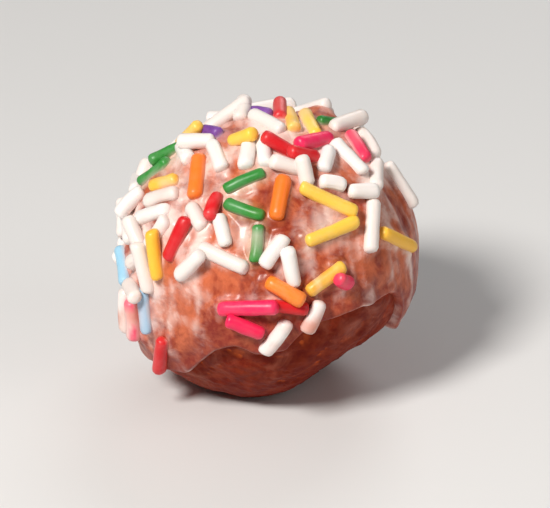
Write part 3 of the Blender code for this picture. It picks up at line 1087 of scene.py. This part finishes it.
sprinkleColours = {  # the common colour of each, and the deeper one that some of them have
    "white": ((0.88, 0.83, 0.80), (0.83, 0.73, 0.68)),
    "yellow": ((0.99, 0.62, 0.075), (0.98, 0.50, 0.035)),
    "green": ((0.020, 0.26, 0.026), (0.009, 0.14, 0.014)),
    "orange": ((0.96, 0.26, 0.025), (0.90, 0.17, 0.012)),
    "red": ((0.74, 0.008, 0.014), (0.58, 0.005, 0.010)),
    "pink": ((0.92, 0.012, 0.12), (0.82, 0.008, 0.065)),
    "blue": ((0.34, 0.62, 0.80), (0.22, 0.48, 0.72)),
    "purple": ((0.26, 0.08, 0.42), (0.16, 0.04, 0.30)),
}


def sprinkleMaterial(name, colour, deeper):
    made, tree, shader = startMaterial(
        name,
        **{
            "Roughness": 0.42,
            "Subsurface Weight": 0.14,
            "Subsurface Radius": (1.0, 0.8, 0.6),
            "Subsurface Scale": 0.5 * mm,
            "Coat Weight": 0.18,
            "Coat Roughness": 0.28,
            "Specular IOR Level": 0.35,
        },
    )
    shade = readAttribute(tree, "shade")
    film = readAttribute(tree, "film")
    milkAndPaintedLight = readAttribute(tree, "milkAndPaintedLight")
    paler = tuple(channel + (1 - channel) * rodShape["paler"] for channel in colour)
    tone = placeGroup(tree, mottle, First=(*colour, 1), Second=(*paler, 1), Scale=700.0, Warp=0.3)
    grain = placeGroup(tree, sugarGrain, Scale=2600.0, Pits=0.2)
    varied = mixColours(tree, shade.outputs["Fac"], tone.outputs["Color"], (*deeper, 1))
    over = mixColours(tree, milkAndPaintedLight.outputs["Fac"], glaze["thin"], glaze["milky"])
    filmed = mixColours(tree, film.outputs["Fac"], varied, over)
    tree.links.new(filmed, shader.inputs["Base Color"])
    addBump(tree, shader, grain.outputs["Height"], distance=0.03 * mm, strength=0.5)
    return made


def addRod(bm, sprinkle, draw):
    radius = rods["widths"][sprinkle.colour] / 2
    line = sprinkle.head - sprinkle.tail
    longHalf = line.length / 2 + rods["endDome"]
    straight = longHalf - radius * rodShape["endSquash"]
    rod = bmesh.new()
    bmesh.ops.create_uvsphere(
        rod, u_segments=rodShape["segments"], v_segments=rodShape["rings"], radius=1
    )
    power = rodShape["bluntness"]
    for spot in rod.verts:
        across = math.hypot(spot.co.x, spot.co.y)
        blunt = (across**power + abs(spot.co.z) ** power) ** (-1 / power)
        spot.co *= blunt * radius
        spot.co.z *= rodShape["endSquash"]
        if abs(spot.co.z) > 0.01 * radius:  # all but the ring in the middle
            spot.co.z += math.copysign(straight, spot.co.z)
    long = [edge for edge in rod.edges if edge.calc_length() > straight * 0.6]  # its straight sides
    bmesh.ops.subdivide_edges(rod, edges=long, cuts=rodShape["cuts"], use_grid_fill=True)
    bend = draw.uniform(-1, 1) * rodShape["bend"]
    taper = draw.uniform(-1, 1) * rodShape["taper"]
    slants = [draw.uniform(-1, 1) * rodShape["slant"] for _ in range(2)]
    flat = draw.uniform(*rodShape["flatness"])
    turn = draw.uniform(0, math.pi)
    shade = draw.random() ** rodShape["shadeFallOff"]
    for spot in rod.verts:
        share = spot.co.z / longHalf
        spot.co.x *= 1 + taper * share
        spot.co.y *= (1 + taper * share) * flat
        slant = slants[0 if share < 0 else 1] * smoothStep(rodShape["slantFrom"], 1, abs(share))
        spot.co.z += slant * spot.co.x
        spot.co.x += bend * (rodShape["bendMiddle"] - share**2)
        place = spot.co * rodShape["ripplesPerMetre"] + sprinkle.head * rodShape["rippleShift"]
        spot.co += rodShape["ripple"] * noise.noise_vector(place)
    facing = line.to_track_quat("Z", "Y").to_matrix().to_4x4() @ Matrix.Rotation(turn, 4, "Z")
    facing.translation = (sprinkle.head + sprinkle.tail) / 2
    bmesh.ops.transform(rod, matrix=facing, verts=rod.verts)
    mesh = bpy.data.meshes.new("rod")
    rod.to_mesh(mesh)
    rod.free()
    bm.from_mesh(mesh)
    count = len(mesh.vertices)
    bpy.data.meshes.remove(mesh)
    return [shade] * count


def filmOn(place):  # how much glaze lies on a sprinkle here, and how milky it is; the film patches add painted shade in places
    direction = (place - ball["centre"]).normalized()
    milkAndPaintedLight = smoothStep(*sprinkleFilm["milkEdge"], milkAndPaintedLightAt(direction, sprinkleFilm["farFromEdge"]))
    height = heightAboveGlaze(place) - sprinkleFilm["above"]
    dipped = 1 - smoothStep(0, sprinkleFilm["fade"], height)
    cloud = noise.noise(place * sprinkleFilm["unevenPerMetre"])
    coatedAndShaded = patchSum(direction, filmAndShadePatches) * smoothStep(*sprinkleFilm["unevenEdge"], cloud)
    amount = (sprinkleFilm["least"] + sprinkleFilm["byMilk"] * milkAndPaintedLight) * dipped + coatedAndShaded
    return min(max(amount, 0), sprinkleFilm["most"]), milkAndPaintedLight


def makeSprinkles():
    draw = random.Random(rodShape["seed"])
    noise.seed_set(rodShape["seed"])  # for the ripples
    for colour, tones in sprinkleColours.items():
        bm = bmesh.new()
        shades = []
        for sprinkle in sprinkles:
            if sprinkle.colour == colour:
                shades += addRod(bm, sprinkle, draw)
        bmesh.ops.recalc_face_normals(bm, faces=bm.faces)
        name = colour + "Sprinkles"
        films, milksAndPaintedLight = zip(*[filmOn(spot.co) for spot in bm.verts])
        piece = finishedPiece(name, bm, sprinkleMaterial(name, *tones), "sprinkles", "glaze")
        storeValues(piece, "shade", shades)
        storeValues(piece, "film", films)
        storeValues(piece, "milkAndPaintedLight", milksAndPaintedLight)
        print(name, len(piece.data.polygons), "faces")


makeSprinkles()
